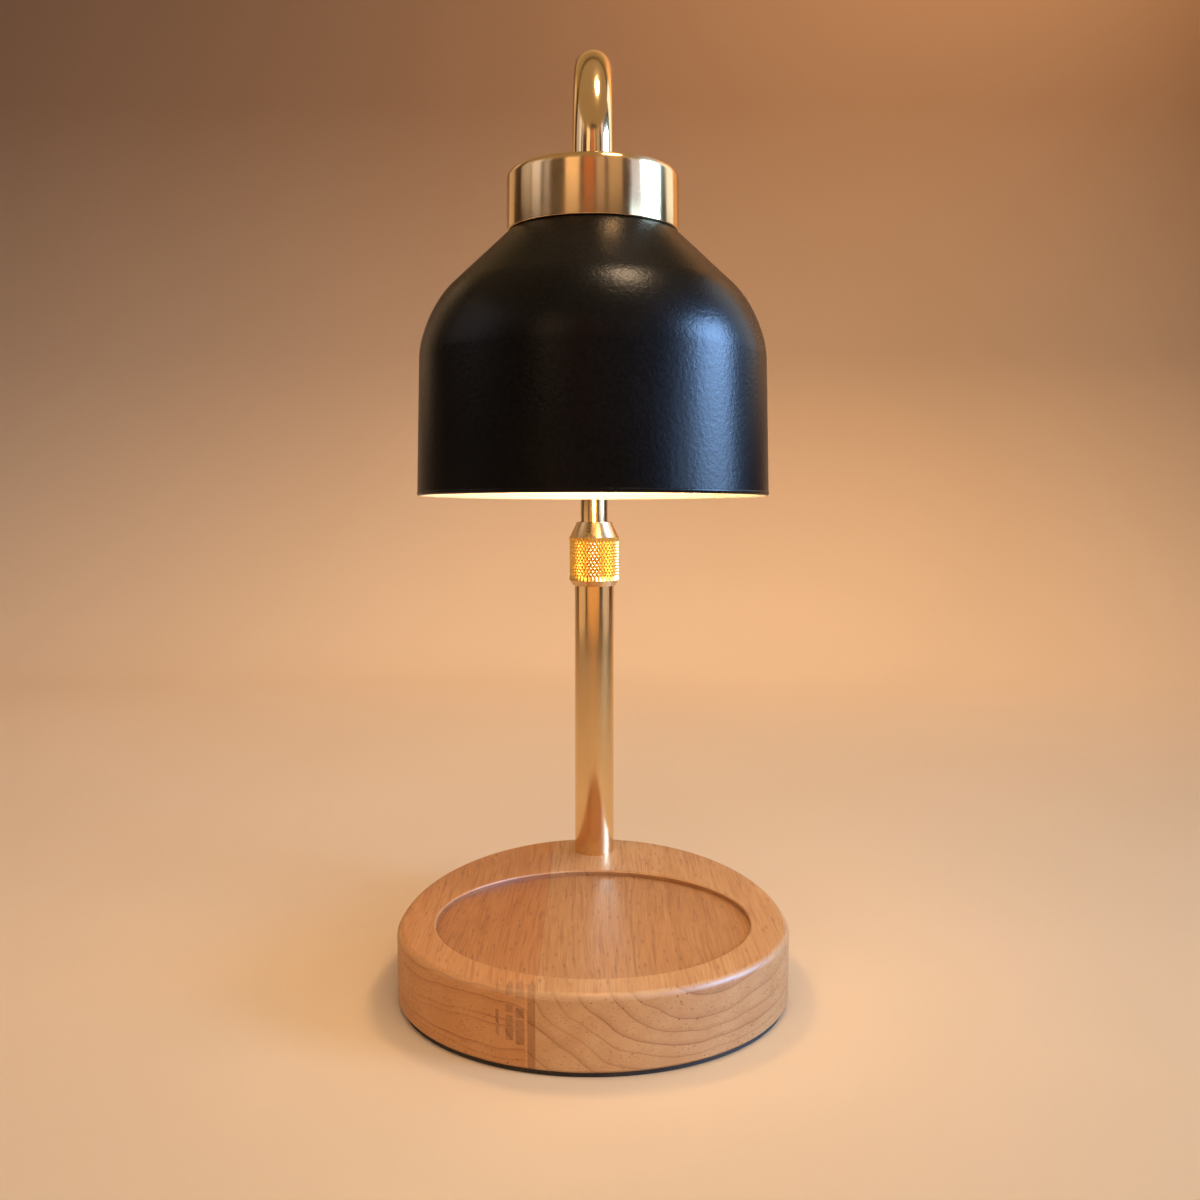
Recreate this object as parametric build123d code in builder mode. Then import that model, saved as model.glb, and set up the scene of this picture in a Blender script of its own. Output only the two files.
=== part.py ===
# Candle warmer: an egg-shaped wood base, a telescopic brass post, an arched arm and a bell-shaped lamp head.
# Lengths are in mm and angles in degrees. The origin lies on the table under the centre of the recess.
# +X is to the right of someone facing the lamp, +Y runs back to the post and +Z is up.
import os
from math import atan, cos, degrees, radians, sin

from build123d import *

os.makedirs("parts", exist_ok=True)

# Clearances
overrun = 1.0  # how far a cut runs past a face
fit_gap = 0.05  # radial gap of pressed, brazed and screwed fits
run_gap = 0.05  # radial gap of a fit that slides or turns
free_gap = 0.3  # gap between pieces that pass each other

# Wood base and what closes it
base_width = 130.0
tail_length = 96.0  # from the recess centre to the end of the tail
base_thick = 23.5
base_round = 2.2
base_chamfer = 0.8
recess_rim = 12.5  # wood left round the recess
recess_depth = 2.0
recess_round = 0.6
pad_thick = 1.5
pad_inset = 5.0
cover_thick = 1.5
cover_inset = 6.0
pocket_inset = 16.0
pocket_depth = 13.0
cover_screw_head = 6.0
cover_screw_dia = 3.0
cover_screw_bite = 8.0
cover_screw_angles = (-90, -30, 210, 40, 140)

# Ballast
ballast_gap = 4.0  # to the side of the pocket
ballast_thick = 6.0
ballast_chamfer = 1.0
ballast_screw_inset = 15.0
ballast_screw_count = 3
ballast_screw_start = -90.0
ballast_screw_dia = 3.5
ballast_screw_head = 7.0
ballast_screw_head_high = 2.2
ballast_screw_bite = 4.5

# Cord gland and terminal block
gland_dia = 8.0
gland_bore = 5.2
gland_length = 6.5
gland_flange_dia = 10.4
gland_flange_thick = 2.0
gland_flange_sink = 1.2
gland_flange_round = 0.6
gland_height = 8.0  # of the gland's axis above the table
terminal_width = 20.0
terminal_length = 14.0
terminal_high = 12.5
terminal_to_post = 19.16  # from the face where the lead comes out to the post's axis
terminal_gap = 1.0
terminal_round = 1.0
terminal_port = 4.2
terminal_port_pitch = 9.0

# Lead
lead_dia = 3.8
lead_bend = 5.0
lead_rise = 2.6  # of the lead's axis above the cover
slack_dia = 11.2
slack_eye = 3.6

# Post
post_inset = 17.84  # from the end of the tail to the post's axis
nipple_dia = 10.0
nipple_bore = 7.0
nipple_tail = 0.5  # length past the nut
washer_dia = 18.0
washer_thick = 1.5
nut_across = 14.0
nut_thick = 5.0
nut_pocket_dia = 19.0
tube_dia = 15.2
tube_bore = 13.0
tube_length = 109.0
foot_length = 12.0
foot_bite = 10.0  # length of nipple in the tube foot

# Collet and lock collar
spigot_length = 12.0
shoulder_thick = 2.0
thread_dia = 14.4
thread_length = 9.0
finger_root_dia = 14.0
finger_tip_dia = 12.4
finger_length = 7.0
slit_width = 1.2
slit_depth = 12.0
collar_dia = 19.2
collar_band_low = 2.2  # height of the chamfered lip under the knurled band
collar_band_high = 16.9
collar_lip_dia = 16.4
collar_cone_dia = 18.4
collar_nose_dia = 13.3
collar_edge = 0.4
collar_height = 24.5
collar_hang = 3.7  # how far the collar hangs over the tube's end
collar_nose_thick = 1.9

# Rod and its guide
rod_dia = 10.4
rod_bore = 6.4
travel_up = 30.0
stop_gap = 0.2
bush_length = 10.0
clip_thick = 0.8
clip_dia = 12.2
clip_groove_dia = 9.2
clip_end = 1.0  # rod left below the lower clip

# Arch
arch_dia = 13.0
arch_bore = 10.0
arch_chamfer = 0.5
arch_leg = 59.5  # straight length above the rod
joint_length = 16.0  # length of rod spigot in the arch
joint_screw_dia = 3.0
joint_screw_up = 8.0
joint_key = 1.5  # across the socket's flats
joint_key_depth = 0.9
neck_straight = 6.0

# Head: heights run up its own axis from the shade's rim
head_tilt = 2.2  # the front of the rim stands higher than the back
rim_height = 166.0
shade_to_post = 15.06  # clear space between the rim and the arch's leg
shade_flare = 1.2  # how far the rim stands outside the shoulder
shade_shoulder_high = 57.0
shade_shoulder_round = 33.0
shade_top_dia = 48.8
shade_high = 86.5
shade_top_round = 1.5
shade_wall = 0.9
bead_dia = 1.6
bead_out = 0.15
cap_dia = 55.2
cap_gap = 0.6  # between the cap's edge and the shade's cone
cap_high = 103.0
cap_wall = 1.2
cap_round = 2.5
spacer_dia = 14.0
neck_nut_thick = 4.5
neck_nipple_bite = 5.5

# Lampholder and its bracket
bridge_thick = 1.2
bridge_width = 12.0
bridge_span = 28.8
bridge_drop = 16.0
bridge_foot = 7.0
holder_dia = 26.0
holder_high = 14.0
holder_round = 1.0
holder_screw_pitch = 20.0
holder_screw_dia = 2.8
holder_screw_head = 5.2
holder_screw_head_high = 1.8
holder_screw_bite = 7.0
pin_pitch = 10.0
pin_dia = 3.0
pin_head_dia = 4.7
pin_length = 8.3
pin_head_length = 4.0
pin_angles = (90, 270)
slot_width = 5.4
slot_depth = 9.5
twist = 60.0

# Bulb
bulb_neck_dia = 21.0
bulb_neck_length = 10.7
bulb_collar_dia = 23.0
bulb_collar_length = 2.0
bulb_dia = 50.0
bulb_flare = 30.0  # length of the flared part of the reflector
bulb_rim = 2.5
bulb_wall = 1.2
bulb_belly = 3.0  # how far the flare bulges outside a straight cone
lens_thick = 1.5
capsule_dia = 9.0
capsule_length = 20.0

# Sizes and places that follow from the base and the post
recess_dia = base_width - 2 * recess_rim
ballast_dia = base_width - 2 * (pocket_inset + ballast_gap)
ballast_screw_circle = ballast_dia - 2 * ballast_screw_inset
post_y = tail_length - post_inset
terminal_back = post_y - terminal_to_post
terminal_front = terminal_back - terminal_length
shade_rim_dia = 2 * (post_y - arch_dia / 2 - shade_to_post)
shade_shoulder_dia = shade_rim_dia - 2 * shade_flare

# Levels above the table
wood_low = pad_thick
wood_top = wood_low + base_thick
cover_top = wood_low + cover_thick
pocket_top = cover_top + pocket_depth
ballast_low = pocket_top - ballast_thick
washer_low = pocket_top - washer_thick
nut_low = washer_low - nut_thick
nipple_low = nut_low - nipple_tail
nipple_top = wood_top + foot_bite
foot_top = wood_top + foot_length
tube_top = wood_top + tube_length
spigot_low = tube_top - spigot_length
shoulder_top = tube_top + shoulder_thick
thread_top = shoulder_top + thread_length
finger_top = thread_top + finger_length
collar_low = tube_top - collar_hang
collar_top = collar_low + collar_height

# Levels along the head's axis
cone_slope = (shade_high - shade_shoulder_high) / ((shade_shoulder_dia - shade_top_dia) / 2)
cap_low = shade_high - (cap_dia - shade_top_dia) / 2 * cone_slope + cap_gap
bridge_top = shade_high - shade_wall
washer_top_h = bridge_top - bridge_thick
nut_top_h = washer_top_h - washer_thick
nut_low_h = nut_top_h - neck_nut_thick
neck_low_h = nut_low_h - nipple_tail
holder_top_h = bridge_top - bridge_drop
holder_low_h = holder_top_h - holder_high
bulb_top_h = holder_low_h - free_gap
flare_top_h = bulb_top_h - bulb_neck_length
rim_top_h = flare_top_h - bulb_flare
lens_top_h = rim_top_h - bulb_rim
lens_low_h = lens_top_h - lens_thick
spring_h = cap_high + neck_straight

# The head's frame, and the arch that spans from it to the post
head_up = Vector(0, sin(radians(head_tilt)), cos(radians(head_tilt)))
rim_centre = Vector(0, 0, rim_height)
spring = rim_centre + head_up * spring_h
arch_radius = (post_y - spring.Y) / (1 + cos(radians(head_tilt)))
arch_y = post_y - arch_radius
arch_z = spring.Z - arch_radius * sin(radians(head_tilt))
arch_low = arch_z - arch_leg
joint_screw_z = arch_low + joint_screw_up

# The rod's foot, where its upper clip meets the collet at the top of the travel
clip_top = spigot_low - travel_up - stop_gap
bush_top = clip_top - clip_thick - stop_gap
bush_low = bush_top - bush_length
clip_low = bush_low - stop_gap - clip_thick
rod_low = clip_low - clip_end

post = Plane((0, post_y, 0))
post_axis = Axis((0, post_y, 0), (0, 0, 1))
post_side = Plane((0, post_y, 0), x_dir=(1, 0, 0), z_dir=(0, -1, 0))
head = Plane(rim_centre, x_dir=(1, 0, 0), z_dir=head_up)
head_axis = Axis(rim_centre, head_up)
head_side = Plane(rim_centre, x_dir=(1, 0, 0), z_dir=head_up.cross(Vector(1, 0, 0)) * -1)
tail = Plane((0, tail_length, gland_height), x_dir=(1, 0, 0), z_dir=(0, 1, 0))


def egg(inset):
    """Outline of the base, drawn in by inset: a half circle in front and a half ellipse behind."""
    across = base_width / 2 - inset
    with BuildSketch() as outline:
        with BuildLine():
            CenterArc((0, 0), across, 180, 180)
            EllipticalCenterArc((0, 0), across, tail_length - inset, start_angle=0, arc_size=180)
        make_face()
    return outline.sketch


def on_egg(inset, angle):
    """Point on the outline that egg draws."""
    across = base_width / 2 - inset
    along = across if sin(radians(angle)) < 0 else tail_length - inset
    return across * cos(radians(angle)), along * sin(radians(angle))


def ring(outer, bore):
    """Flat ring between two diameters."""
    with BuildSketch() as flat:
        Circle(outer / 2)
        Circle(bore / 2, mode=Mode.SUBTRACT)
    return flat.sketch


def nut(across, bore):
    """Outline of a hexagonal nut."""
    with BuildSketch() as flat:
        RegularPolygon(across / 2, 6, major_radius=False)
        Circle(bore / 2, mode=Mode.SUBTRACT)
    return flat.sketch


def pin_slots():
    """Two curved slots in which the bulb's pins turn."""
    with BuildSketch() as flat:
        for start in pin_angles:
            SlotArc(CenterArc((0, 0), pin_pitch / 2, start, twist, mode=Mode.PRIVATE), slot_width)
    return flat.sketch


def arm_path(foot_z, head_h):
    """Centre line up the post, over the arch and down the head's axis."""
    end = rim_centre + head_up * head_h
    with BuildLine(Plane.YZ) as path:
        Line((post_y, foot_z), (post_y, arch_z))
        bend = CenterArc((arch_y, arch_z), arch_radius, 0, 180 - head_tilt)
        Line(bend @ 1, (end.Y, end.Z))
    return path.line


def save(piece, name):
    """Labels a finished piece and writes it."""
    piece.part.label = name
    export_step(piece.part, f"parts/{name}.step")


cover_screw_places = [on_egg((cover_inset + pocket_inset) / 2, angle) for angle in cover_screw_angles]
cover_screw_taper = degrees(atan((cover_screw_head - cover_screw_dia) / 2 / cover_thick))

# Wood base: recess above, and a pocket below that the cover closes
with BuildPart() as wood_base:
    with BuildSketch(Plane.XY.offset(wood_low)):
        add(egg(0))
    extrude(amount=base_thick)
    fillet(wood_base.edges().group_by(Axis.Z)[-1], base_round)
    chamfer(wood_base.edges().group_by(Axis.Z)[0], base_chamfer)
    with BuildSketch(Plane.XY.offset(wood_top)):
        Circle(recess_dia / 2)
    extrude(amount=-recess_depth, mode=Mode.SUBTRACT)
    fillet(wood_base.edges().filter_by(GeomType.CIRCLE).group_by(Axis.Z)[-1], recess_round)
    with BuildSketch(Plane.XY.offset(wood_low)):
        add(egg(cover_inset))
    extrude(amount=cover_thick, mode=Mode.SUBTRACT)
    with BuildSketch(Plane.XY.offset(cover_top)):
        add(egg(pocket_inset))
        with Locations((0, post_y)):
            Circle(nut_pocket_dia / 2)
    extrude(amount=pocket_depth, mode=Mode.SUBTRACT)
    with BuildSketch(post.offset(pocket_top)):
        Circle(nipple_dia / 2 + fit_gap)
    extrude(amount=wood_top - pocket_top, mode=Mode.SUBTRACT)
    with BuildSketch(tail):
        Circle(gland_dia / 2 + fit_gap)
    extrude(amount=-(tail_length - post_y), mode=Mode.SUBTRACT)
    with BuildSketch(tail.offset(-gland_flange_sink)):
        Circle(gland_flange_dia / 2 + fit_gap)
    extrude(amount=gland_flange_sink + overrun, mode=Mode.SUBTRACT)
    with BuildSketch(Plane.XY.offset(cover_top)):
        with Locations(*cover_screw_places):
            Circle(cover_screw_dia / 2 + fit_gap)
    extrude(amount=cover_screw_bite, mode=Mode.SUBTRACT)
    with BuildSketch(Plane.XY.offset(pocket_top)):
        with PolarLocations(ballast_screw_circle / 2, ballast_screw_count, start_angle=ballast_screw_start):
            Circle(ballast_screw_dia / 2 + fit_gap)
    extrude(amount=ballast_screw_bite, mode=Mode.SUBTRACT)
save(wood_base, "wood_base")

# Ballast plate under the recess, with a flat behind that clears the terminal block
with BuildPart() as ballast_plate:
    with BuildSketch(Plane.XY.offset(ballast_low)):
        Circle(ballast_dia / 2)
        with PolarLocations(ballast_screw_circle / 2, ballast_screw_count, start_angle=ballast_screw_start):
            Circle(ballast_screw_dia / 2 + fit_gap, mode=Mode.SUBTRACT)
    extrude(amount=ballast_thick)
    chamfer(ballast_plate.edges().group_by(Axis.Z)[0].sort_by(SortBy.RADIUS)[-1], ballast_chamfer)
    with BuildSketch(Plane.XY.offset(ballast_low)):
        with Locations((0, terminal_front - terminal_gap)):
            Rectangle(ballast_dia, ballast_dia, align=(Align.CENTER, Align.MIN))
    extrude(amount=ballast_thick, mode=Mode.SUBTRACT)
save(ballast_plate, "ballast_plate")

with BuildPart() as ballast_screws:
    with BuildSketch(Plane.XY.offset(ballast_low)):
        with PolarLocations(ballast_screw_circle / 2, ballast_screw_count, start_angle=ballast_screw_start):
            Circle(ballast_screw_head / 2)
    extrude(amount=-ballast_screw_head_high)
    with BuildSketch(Plane.XY.offset(ballast_low)):
        with PolarLocations(ballast_screw_circle / 2, ballast_screw_count, start_angle=ballast_screw_start):
            Circle(ballast_screw_dia / 2)
    extrude(amount=ballast_thick + ballast_screw_bite)
save(ballast_screws, "ballast_screws")

# Cover that closes the pocket, its countersunk screws, and the pad that hides them
with BuildPart() as bottom_cover:
    with BuildSketch(Plane.XY.offset(wood_low)):
        add(egg(cover_inset + free_gap))
    extrude(amount=cover_thick)
    with BuildSketch(Plane.XY.offset(wood_low)):
        with Locations(*cover_screw_places):
            Circle(cover_screw_head / 2 + fit_gap)
    extrude(amount=cover_thick, taper=cover_screw_taper, mode=Mode.SUBTRACT)
save(bottom_cover, "bottom_cover")

with BuildPart() as cover_screws:
    with BuildSketch(Plane.XY.offset(wood_low)):
        with Locations(*cover_screw_places):
            Circle(cover_screw_head / 2)
    extrude(amount=cover_thick, taper=cover_screw_taper)
    with BuildSketch(Plane.XY.offset(cover_top)):
        with Locations(*cover_screw_places):
            Circle(cover_screw_dia / 2)
    extrude(amount=cover_screw_bite)
save(cover_screws, "cover_screws")

with BuildPart() as foot_pad:
    with BuildSketch():
        add(egg(pad_inset))
    extrude(amount=pad_thick)
save(foot_pad, "foot_pad")

# Cord gland in the tail
with BuildPart() as cord_gland:
    with BuildSketch(tail.offset(-gland_flange_sink)):
        add(ring(gland_flange_dia, gland_bore))
    extrude(amount=gland_flange_thick)
    with BuildSketch(tail.offset(-gland_flange_sink)):
        add(ring(gland_dia, gland_bore))
    extrude(amount=-gland_length)
    fillet(cord_gland.edges().group_by(Axis.Y)[-1].sort_by(SortBy.RADIUS)[-1], gland_flange_round)
save(cord_gland, "cord_gland")

# Terminal block under the pocket's roof
with BuildPart() as terminal_block:
    with BuildSketch(Plane.XY.offset(pocket_top)):
        with Locations((0, (terminal_front + terminal_back) / 2)):
            RectangleRounded(terminal_width, terminal_length, terminal_round)
    extrude(amount=-terminal_high)
    with BuildSketch(Plane((0, terminal_back, pocket_top - terminal_high / 2), z_dir=(0, 1, 0))):
        with GridLocations(terminal_port_pitch, 0, 2, 1):
            Circle(terminal_port / 2)
    extrude(amount=-terminal_length, mode=Mode.SUBTRACT)
save(terminal_block, "terminal_block")

# Post: nipple through the wood, washer and nut below, tube foot and tube above
with BuildPart() as post_nipple:
    with BuildSketch(post.offset(nipple_low)):
        add(ring(nipple_dia, nipple_bore))
    extrude(amount=nipple_top - nipple_low)
save(post_nipple, "post_nipple")

with BuildPart() as post_washer:
    with BuildSketch(post.offset(washer_low)):
        add(ring(washer_dia, nipple_dia + 2 * fit_gap))
    extrude(amount=washer_thick)
save(post_washer, "post_washer")

with BuildPart() as post_nut:
    with BuildSketch(post.offset(nut_low)):
        add(nut(nut_across, nipple_dia + 2 * fit_gap))
    extrude(amount=nut_thick)
save(post_nut, "post_nut")

with BuildPart() as tube_foot:
    with BuildSketch(post.offset(wood_top)):
        add(ring(tube_bore - 2 * fit_gap, nipple_dia + 2 * fit_gap))
    extrude(amount=foot_length)
save(tube_foot, "tube_foot")

with BuildPart() as lower_tube:
    with BuildSketch(post.offset(wood_top)):
        add(ring(tube_dia, tube_bore))
    extrude(amount=tube_length)
save(lower_tube, "lower_tube")

# Collet: a spigot in the tube, a thread for the collar, and four fingers that close on the rod
collet_bore = rod_dia + 2 * run_gap
with BuildPart() as collet_body:
    with BuildSketch(post_side):
        with BuildLine():
            Polyline(
                (collet_bore / 2, spigot_low),
                (tube_bore / 2 - fit_gap, spigot_low),
                (tube_bore / 2 - fit_gap, tube_top),
                (tube_dia / 2, tube_top),
                (tube_dia / 2, shoulder_top),
                (thread_dia / 2, shoulder_top),
                (thread_dia / 2, thread_top),
                (finger_root_dia / 2, thread_top),
                (finger_tip_dia / 2, finger_top),
                (collet_bore / 2, finger_top),
                close=True,
            )
        make_face()
    revolve(axis=post_axis)
    with BuildSketch(post.offset(finger_top)):
        Rectangle(slit_width, tube_dia)
        Rectangle(tube_dia, slit_width)
    extrude(amount=-slit_depth, mode=Mode.SUBTRACT)
save(collet_body, "collet_body")

# Lock collar: knurled band, chamfered lip below and cone above, threaded on the collet
band_low = collar_low + collar_band_low
band_top = band_low + collar_band_high
nose_low = collar_top - collar_nose_thick
with BuildPart() as lock_collar:
    with BuildSketch(post_side):
        with BuildLine():
            Polyline(
                (tube_dia / 2 + free_gap, collar_low),
                (collar_lip_dia / 2, collar_low),
                (collar_dia / 2, band_low),
                (collar_dia / 2, band_top - collar_edge),
                (collar_cone_dia / 2, band_top),
                (collar_nose_dia / 2, collar_top),
                (rod_dia / 2 + free_gap, collar_top),
                (rod_dia / 2 + free_gap, nose_low),
                (finger_tip_dia / 2 + free_gap, nose_low),
                (thread_dia / 2 + run_gap, thread_top),
                (thread_dia / 2 + run_gap, shoulder_top + free_gap),
                (tube_dia / 2 + free_gap, shoulder_top + free_gap),
                close=True,
            )
        make_face()
    revolve(axis=post_axis)
save(lock_collar, "lock_collar")

# Rod: a tube with two clip grooves at its foot and a spigot for the arch at its top
with BuildPart() as slide_rod:
    with BuildSketch(post.offset(rod_low)):
        add(ring(rod_dia, rod_bore))
    extrude(amount=arch_low - rod_low)
    with BuildSketch(post.offset(arch_low)):
        add(ring(arch_bore - 2 * fit_gap, rod_bore))
    extrude(amount=joint_length)
    for groove_low in (clip_low, bush_top + stop_gap):
        with BuildSketch(post.offset(groove_low)):
            add(ring(rod_dia + overrun, clip_groove_dia))
        extrude(amount=clip_thick, mode=Mode.SUBTRACT)
save(slide_rod, "slide_rod")

with BuildPart() as guide_bush:
    with BuildSketch(post.offset(bush_low)):
        add(ring(tube_bore - 2 * run_gap, rod_dia + 2 * run_gap))
    extrude(amount=bush_length)
save(guide_bush, "guide_bush")

with BuildPart() as guide_clips:
    for groove_low in (clip_low, bush_top + stop_gap):
        with BuildSketch(post.offset(groove_low)):
            add(ring(clip_dia, clip_groove_dia + 2 * fit_gap))
        extrude(amount=clip_thick)
save(guide_clips, "guide_clips")

# Arch: one tube from the rod, over the top, to the neck of the head
with BuildPart() as arch_tube:
    with BuildLine():
        add(arm_path(arch_low, cap_high))
    with BuildSketch(post.offset(arch_low)):
        add(ring(arch_dia, arch_bore))
    sweep()
    chamfer(arch_tube.edges().group_by(Axis.Z)[0].sort_by(SortBy.RADIUS)[-1], arch_chamfer)
    with BuildSketch(Plane((0, post_y, joint_screw_z), z_dir=(0, 1, 0))):
        Circle(joint_screw_dia / 2 + fit_gap)
    extrude(amount=arch_dia, mode=Mode.SUBTRACT)
save(arch_tube, "arch_tube")

with BuildPart() as joint_screw:
    with BuildSketch(Plane((0, post_y + arch_bore / 2, joint_screw_z), z_dir=(0, 1, 0))):
        Circle(joint_screw_dia / 2)
    extrude(amount=(arch_dia - arch_bore) / 2)
    with BuildSketch(Plane((0, post_y + arch_dia / 2, joint_screw_z), z_dir=(0, 1, 0))):
        RegularPolygon(joint_key / 2, 6, major_radius=False)
    extrude(amount=-joint_key_depth, mode=Mode.SUBTRACT)
save(joint_screw, "joint_screw")

# Neck: nipple, cap, spacer, washer and nut on the head's axis
with BuildPart() as neck_nipple:
    with BuildSketch(head.offset(neck_low_h)):
        add(ring(arch_bore - 2 * fit_gap, nipple_bore))
    extrude(amount=cap_high + neck_nipple_bite - neck_low_h)
save(neck_nipple, "neck_nipple")

with BuildPart() as cap:
    with BuildSketch(head_side) as cup:
        with BuildLine():
            Polyline(
                (nipple_dia / 2, cap_high),
                (cap_dia / 2, cap_high),
                (cap_dia / 2, cap_low),
                (cap_dia / 2 - cap_wall, cap_low + cap_wall * cone_slope),
                (cap_dia / 2 - cap_wall, cap_high - cap_wall),
                (nipple_dia / 2, cap_high - cap_wall),
                close=True,
            )
        make_face()
        fillet(cup.vertices().sort_by_distance((cap_dia / 2, cap_high))[0], cap_round)
        fillet(
            cup.vertices().sort_by_distance((cap_dia / 2 - cap_wall, cap_high - cap_wall))[0],
            cap_round - cap_wall,
        )
    revolve(axis=head_axis)
save(cap, "cap")

with BuildPart() as cap_spacer:
    with BuildSketch(head.offset(shade_high)):
        add(ring(spacer_dia, nipple_dia))
    extrude(amount=cap_high - cap_wall - shade_high)
save(cap_spacer, "cap_spacer")

with BuildPart() as neck_washer:
    with BuildSketch(head.offset(nut_top_h)):
        add(ring(washer_dia, nipple_dia))
    extrude(amount=washer_thick)
save(neck_washer, "neck_washer")

with BuildPart() as neck_nut:
    with BuildSketch(head.offset(nut_low_h)):
        add(nut(nut_across, nipple_dia))
    extrude(amount=neck_nut_thick)
save(neck_nut, "neck_nut")

# Shade: a spun bell with a tapered side, a round shoulder, a cone under the cap and a rolled rim
with BuildPart() as shade:
    with BuildSketch(head_side) as bell:
        with BuildLine():
            Polyline(
                (0, 0),
                (shade_rim_dia / 2, 0),
                (shade_shoulder_dia / 2, shade_shoulder_high),
                (shade_top_dia / 2, shade_high),
                (0, shade_high),
                close=True,
            )
        make_face()
        fillet(
            bell.vertices().sort_by_distance((shade_shoulder_dia / 2, shade_shoulder_high))[0],
            shade_shoulder_round,
        )
        fillet(bell.vertices().sort_by_distance((shade_top_dia / 2, shade_high))[0], shade_top_round)
    revolve(axis=head_axis)
    offset(amount=-shade_wall, openings=shade.faces().sort_by(head_axis)[0])
    with BuildSketch(head_side):
        with Locations((shade_rim_dia / 2 + bead_out - bead_dia / 2, bead_dia / 2)):
            Circle(bead_dia / 2)
    revolve(axis=head_axis)
    with BuildSketch(head.offset(bridge_top - overrun)):
        Circle(nipple_dia / 2)
    extrude(amount=shade_wall + 2 * overrun, mode=Mode.SUBTRACT)
save(shade, "shade")

# Bracket: a strip bent down on both sides, with feet that carry the lampholder
with BuildPart() as holder_bridge:
    with BuildSketch(head_side):
        with BuildLine():
            Polyline(
                (0, bridge_top),
                (bridge_span / 2, bridge_top),
                (bridge_span / 2, holder_top_h),
                (bridge_span / 2 - bridge_foot, holder_top_h),
                (bridge_span / 2 - bridge_foot, holder_top_h + bridge_thick),
                (bridge_span / 2 - bridge_thick, holder_top_h + bridge_thick),
                (bridge_span / 2 - bridge_thick, washer_top_h),
                (0, washer_top_h),
                close=True,
            )
        make_face()
        mirror(about=Plane.YZ)
    extrude(amount=bridge_width / 2, both=True)
    with BuildSketch(head.offset(washer_top_h)):
        Circle(nipple_dia / 2)
    extrude(amount=bridge_thick, mode=Mode.SUBTRACT)
    with BuildSketch(head.offset(holder_top_h)):
        with GridLocations(holder_screw_pitch, 0, 2, 1):
            Circle(holder_screw_dia / 2 + fit_gap)
    extrude(amount=bridge_thick, mode=Mode.SUBTRACT)
save(holder_bridge, "holder_bridge")

# Lampholder: a ceramic block with two curved slots that lock the bulb's pins
with BuildPart() as lampholder:
    with BuildSketch(head.offset(holder_low_h)):
        Circle(holder_dia / 2)
    extrude(amount=holder_high)
    chamfer(lampholder.edges(), holder_round)
    with BuildSketch(head.offset(holder_low_h)):
        add(pin_slots())
    extrude(amount=slot_depth, mode=Mode.SUBTRACT)
    with BuildSketch(head.offset(holder_top_h)):
        with GridLocations(holder_screw_pitch, 0, 2, 1):
            Circle(holder_screw_dia / 2 + fit_gap)
    extrude(amount=-holder_screw_bite, mode=Mode.SUBTRACT)
save(lampholder, "lampholder")

with BuildPart() as holder_screws:
    with BuildSketch(head.offset(holder_top_h + bridge_thick)):
        with GridLocations(holder_screw_pitch, 0, 2, 1):
            Circle(holder_screw_head / 2)
    extrude(amount=holder_screw_head_high)
    with BuildSketch(head.offset(holder_top_h + bridge_thick)):
        with GridLocations(holder_screw_pitch, 0, 2, 1):
            Circle(holder_screw_dia / 2)
    extrude(amount=-(bridge_thick + holder_screw_bite))
save(holder_screws, "holder_screws")

# Bulb: ceramic neck and pins, glass reflector, burner and front lens
with BuildPart() as bulb_neck:
    with BuildSketch(head.offset(bulb_top_h)):
        Circle(bulb_neck_dia / 2)
    extrude(amount=-bulb_neck_length)
    with BuildSketch(head.offset(flare_top_h)):
        Circle(bulb_collar_dia / 2)
    extrude(amount=bulb_collar_length)
save(bulb_neck, "bulb_neck")

with BuildPart() as bulb_pins:
    with BuildSketch(head.offset(bulb_top_h)):
        with GridLocations(0, pin_pitch, 1, 2):
            Circle(pin_dia / 2)
    extrude(amount=pin_length - pin_head_length)
    with BuildSketch(head.offset(bulb_top_h + pin_length - pin_head_length)):
        with GridLocations(0, pin_pitch, 1, 2):
            Circle(pin_head_dia / 2)
    extrude(amount=pin_head_length)
save(bulb_pins, "bulb_pins")

with BuildPart() as bulb_reflector:
    with BuildSketch(head_side):
        with BuildLine():
            flare = SagittaArc((bulb_collar_dia / 2, flare_top_h), (bulb_dia / 2, rim_top_h), -bulb_belly)
            edge = Line(flare @ 1, (bulb_dia / 2, lens_top_h))
            lip = Line(edge @ 1, (bulb_dia / 2 - bulb_wall, lens_top_h))
            inner_edge = Line(lip @ 1, (bulb_dia / 2 - bulb_wall, rim_top_h))
            inner = SagittaArc(inner_edge @ 1, (bulb_collar_dia / 2 - bulb_wall, flare_top_h), bulb_belly)
            Line(inner @ 1, flare @ 0)
        make_face()
    revolve(axis=head_axis)
save(bulb_reflector, "bulb_reflector")

with BuildPart() as bulb_capsule:
    with BuildSketch(head.offset(flare_top_h)):
        Circle(capsule_dia / 2)
    extrude(amount=-capsule_length)
    fillet(bulb_capsule.edges().sort_by(head_axis)[0], capsule_dia / 2 - fit_gap)
save(bulb_capsule, "bulb_capsule")

with BuildPart() as bulb_lens:
    with BuildSketch(head.offset(lens_low_h)):
        Circle(bulb_dia / 2)
    extrude(amount=lens_thick)
save(bulb_lens, "bulb_lens")

# Lead: from the terminal block up the post, a coiled slack length in the tube, and on through the arm
lead_z = cover_top + lead_rise
with BuildPart() as base_lead:
    with BuildLine():
        FilletPolyline(
            (0, terminal_back, lead_z), (0, post_y, lead_z), (0, post_y, foot_top), radius=lead_bend
        )
    with BuildSketch(Plane((0, terminal_back, lead_z), z_dir=(0, 1, 0))):
        Circle(lead_dia / 2)
    sweep()
save(base_lead, "base_lead")

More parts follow.
